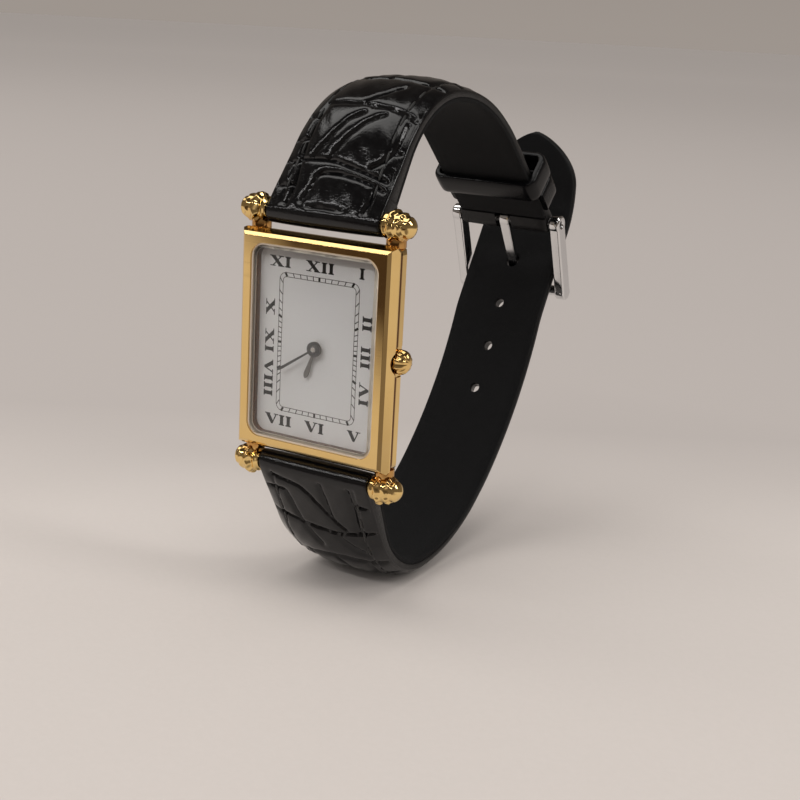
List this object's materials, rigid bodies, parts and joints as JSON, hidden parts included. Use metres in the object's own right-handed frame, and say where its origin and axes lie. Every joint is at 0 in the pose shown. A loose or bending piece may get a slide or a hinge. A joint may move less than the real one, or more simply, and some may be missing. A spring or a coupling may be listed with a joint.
{
  "type": "rectangular dress wristwatch",
  "caption": "Slim rectangular gilt dress watch with a white Roman-numeral dial, beehive lugs and a black embossed leather strap closed by a pin buckle.",
  "frame": {"origin": "centre of the flat outer face of the case back, where the watch rests on the wrist", "axes": "+X to 3 o'clock and the crown, +Y backward from the dial to the wrist, +Z to 12 o'clock"},
  "size_m": [0.026, 0.0596, 0.0663],
  "materials": {
    "gold": "polished gold plate",
    "steel": "fine brushed steel",
    "chrome": "polished chrome plate",
    "leather": "glossy embossed calf leather",
    "lining": "matt lining leather",
    "crystal": "clear mineral crystal",
    "dial": "white lacquered brass",
    "black_paint": "black lacquer",
    "grey_paint": "dark grey lacquer",
    "rubber": "soft black seal",
    "brass": "plain brass",
    "nickel": "nickel plate with fine grain",
    "ring_plastic": "pale moulded plastic",
    "board": "green circuit laminate",
    "chip": "black moulding",
    "copper": "enamelled copper wire",
    "magnet": "dark sintered magnet"
  },
  "bodies": {
    "case": {"bezel": "gold", "case_middle": "gold", "crystal": "crystal", "crystal_gasket": "rubber", "dial": "dial", "movement_ring": "ring_plastic", "case_back": "steel", "case_back_gasket": "rubber", "lug_finials": "gold", "crown_gasket": "rubber", "main_plate": "nickel", "train_bridge": "nickel", "movement_screws": "steel", "stator": "nickel", "coil_core": "nickel", "coil_winding": "copper", "circuit_board": "board", "timing_chip": "chip", "quartz_can": "steel", "battery": "steel", "battery_contact": "brass", "battery_clamp": "steel", "lug_bar_tubes": "steel", "lug_bar_springs": "steel"},
    "minute_work": {"minute_hand": "black_paint", "cannon_pinion": "steel", "centre_wheel": "brass"},
    "hour_work": {"hour_hand": "grey_paint", "hour_wheel": "brass"},
    "minute_wheel": {"minute_wheel": "brass"},
    "third_wheel": {"third_wheel": "brass"},
    "intermediate_wheel": {"intermediate_wheel": "brass"},
    "rotor": {"rotor": "magnet"},
    "setting_wheel": {"setting_wheel": "steel"},
    "setting_lever": {"setting_lever": "steel"},
    "winding": {"crown": "gold", "stem": "steel"},
    "yoke": {"yoke": "steel"},
    "sliding_pinion": {"sliding_pinion": "steel"},
    "tip_upper_right": {"bar_tip_upper_right": "steel"},
    "tip_upper_left": {"bar_tip_upper_left": "steel"},
    "tip_lower_right": {"bar_tip_lower_right": "steel"},
    "tip_lower_left": {"bar_tip_lower_left": "steel"},
    "short_strap": {"upper_strap": "leather", "upper_lining": "lining", "fixed_keeper": "leather", "buckle_bar_tube": "steel", "buckle_bar_springs": "steel"},
    "long_strap": {"lower_strap": "leather", "lower_lining": "lining"},
    "floating_keeper": {"floating_keeper": "leather"},
    "buckle": {"buckle_frame": "chrome"},
    "tongue": {"buckle_tongue": "chrome"},
    "buckle_tip_right": {"buckle_tip_right": "steel"},
    "buckle_tip_left": {"buckle_tip_left": "steel"}
  },
  "joints": [
    {"name": "minute_turn", "type": "hinge", "parent": "case", "child": "minute_work", "pos_m": [0, -0.0024, 0], "axis": [0, 1, 0], "continuous": true},
    {"name": "hour_turn", "type": "hinge", "parent": "case", "child": "hour_work", "pos_m": [0, -0.0034, 0], "axis": [0, 1, 0], "continuous": true},
    {"name": "minute_wheel_turn", "type": "hinge", "parent": "case", "child": "minute_wheel", "pos_m": [0.00062, -0.0029, -0.00232], "axis": [0, 1, 0], "continuous": true},
    {"name": "third_wheel_turn", "type": "hinge", "parent": "case", "child": "third_wheel", "pos_m": [0.00198, -0.0016, 0.00198], "axis": [0, 1, 0], "continuous": true},
    {"name": "intermediate_wheel_turn", "type": "hinge", "parent": "case", "child": "intermediate_wheel", "pos_m": [0.00121, -0.0016, 0.00409], "axis": [0, 1, 0], "continuous": true},
    {"name": "rotor_turn", "type": "hinge", "parent": "case", "child": "rotor", "pos_m": [-0.00064, -0.0016, 0.00458], "axis": [0, 1, 0], "continuous": true},
    {"name": "setting_wheel_turn", "type": "hinge", "parent": "case", "child": "setting_wheel", "pos_m": [0.00306, -0.0029, -0.00143], "axis": [0, 1, 0], "continuous": true},
    {"name": "crown_pull", "type": "slide", "parent": "case", "child": "setting_lever", "axis": [1, 0, 0], "range_m": [0, 0.0009]},
    {"name": "crown_turn", "type": "hinge", "parent": "setting_lever", "child": "winding", "pos_m": [0.011, -0.00265, 0], "axis": [1, 0, 0], "continuous": true},
    {"name": "yoke_slide", "type": "slide", "parent": "case", "child": "yoke", "axis": [1, 0, 0], "range_m": [-0.00045, 0]},
    {"name": "sliding_pinion_turn", "type": "hinge", "parent": "yoke", "child": "sliding_pinion", "pos_m": [0.00445, -0.00265, 0], "axis": [1, 0, 0], "continuous": true},
    {"name": "short_strap_swing", "type": "hinge", "parent": "case", "child": "short_strap", "pos_m": [0, -0.0029, 0.01635], "axis": [1, 0, 0], "range_deg": [-0.5, 0.5]},
    {"name": "long_strap_swing", "type": "hinge", "parent": "case", "child": "long_strap", "pos_m": [0, -0.0029, -0.01635], "axis": [1, 0, 0], "range_deg": [-0.5, 0.5]},
    {"name": "floating_keeper_slide", "type": "slide", "parent": "short_strap", "child": "floating_keeper", "axis": [0, 0.7314, -0.682], "range_m": [-0.005, 0]},
    {"name": "buckle_swing", "type": "hinge", "parent": "short_strap", "child": "buckle", "pos_m": [0, 0.04514, 0.01216], "axis": [1, 0, 0], "range_deg": [-0.5, 0]},
    {"name": "tongue_swing", "type": "hinge", "parent": "short_strap", "child": "tongue", "pos_m": [0, 0.04514, 0.01216], "axis": [1, 0, 0], "range_deg": [0, 1]},
    {"name": "push_upper_right", "type": "slide", "parent": "case", "child": "tip_upper_right", "axis": [-1, 0, 0], "range_m": [0, 0.0009], "stiffness_N_per_m": 150, "springref_m": -0.0005, "deforming": ["lug_bar_springs"]},
    {"name": "push_upper_left", "type": "slide", "parent": "case", "child": "tip_upper_left", "axis": [1, 0, 0], "range_m": [0, 0.0009], "stiffness_N_per_m": 150, "springref_m": -0.0005, "deforming": ["lug_bar_springs"]},
    {"name": "push_lower_right", "type": "slide", "parent": "case", "child": "tip_lower_right", "axis": [-1, 0, 0], "range_m": [0, 0.0009], "stiffness_N_per_m": 150, "springref_m": -0.0005, "deforming": ["lug_bar_springs"]},
    {"name": "push_lower_left", "type": "slide", "parent": "case", "child": "tip_lower_left", "axis": [1, 0, 0], "range_m": [0, 0.0009], "stiffness_N_per_m": 150, "springref_m": -0.0005, "deforming": ["lug_bar_springs"]},
    {"name": "push_buckle_right", "type": "slide", "parent": "short_strap", "child": "buckle_tip_right", "axis": [-1, 0, 0], "range_m": [0, 0.0009], "stiffness_N_per_m": 150, "springref_m": -0.0005, "deforming": ["buckle_bar_springs"]},
    {"name": "push_buckle_left", "type": "slide", "parent": "short_strap", "child": "buckle_tip_left", "axis": [1, 0, 0], "range_m": [0, 0.0009], "stiffness_N_per_m": 150, "springref_m": -0.0005, "deforming": ["buckle_bar_springs"]}
  ],
  "couplings": [
    {"joint": "hour_turn", "follows": "minute_turn", "ratio": 0.083333},
    {"joint": "minute_wheel_turn", "follows": "minute_turn", "ratio": -0.33333},
    {"joint": "third_wheel_turn", "follows": "minute_turn", "ratio": -6},
    {"joint": "intermediate_wheel_turn", "follows": "minute_turn", "ratio": 36},
    {"joint": "rotor_turn", "follows": "minute_turn", "ratio": -180},
    {"joint": "setting_wheel_turn", "follows": "minute_turn", "ratio": 0.75},
    {"joint": "yoke_slide", "follows": "crown_pull", "ratio": -0.5},
    {"joint": "sliding_pinion_turn", "follows": "crown_turn", "ratio": 1},
    {"joint": "long_strap_swing", "follows": "short_strap_swing", "ratio": 0.94}
  ]
}
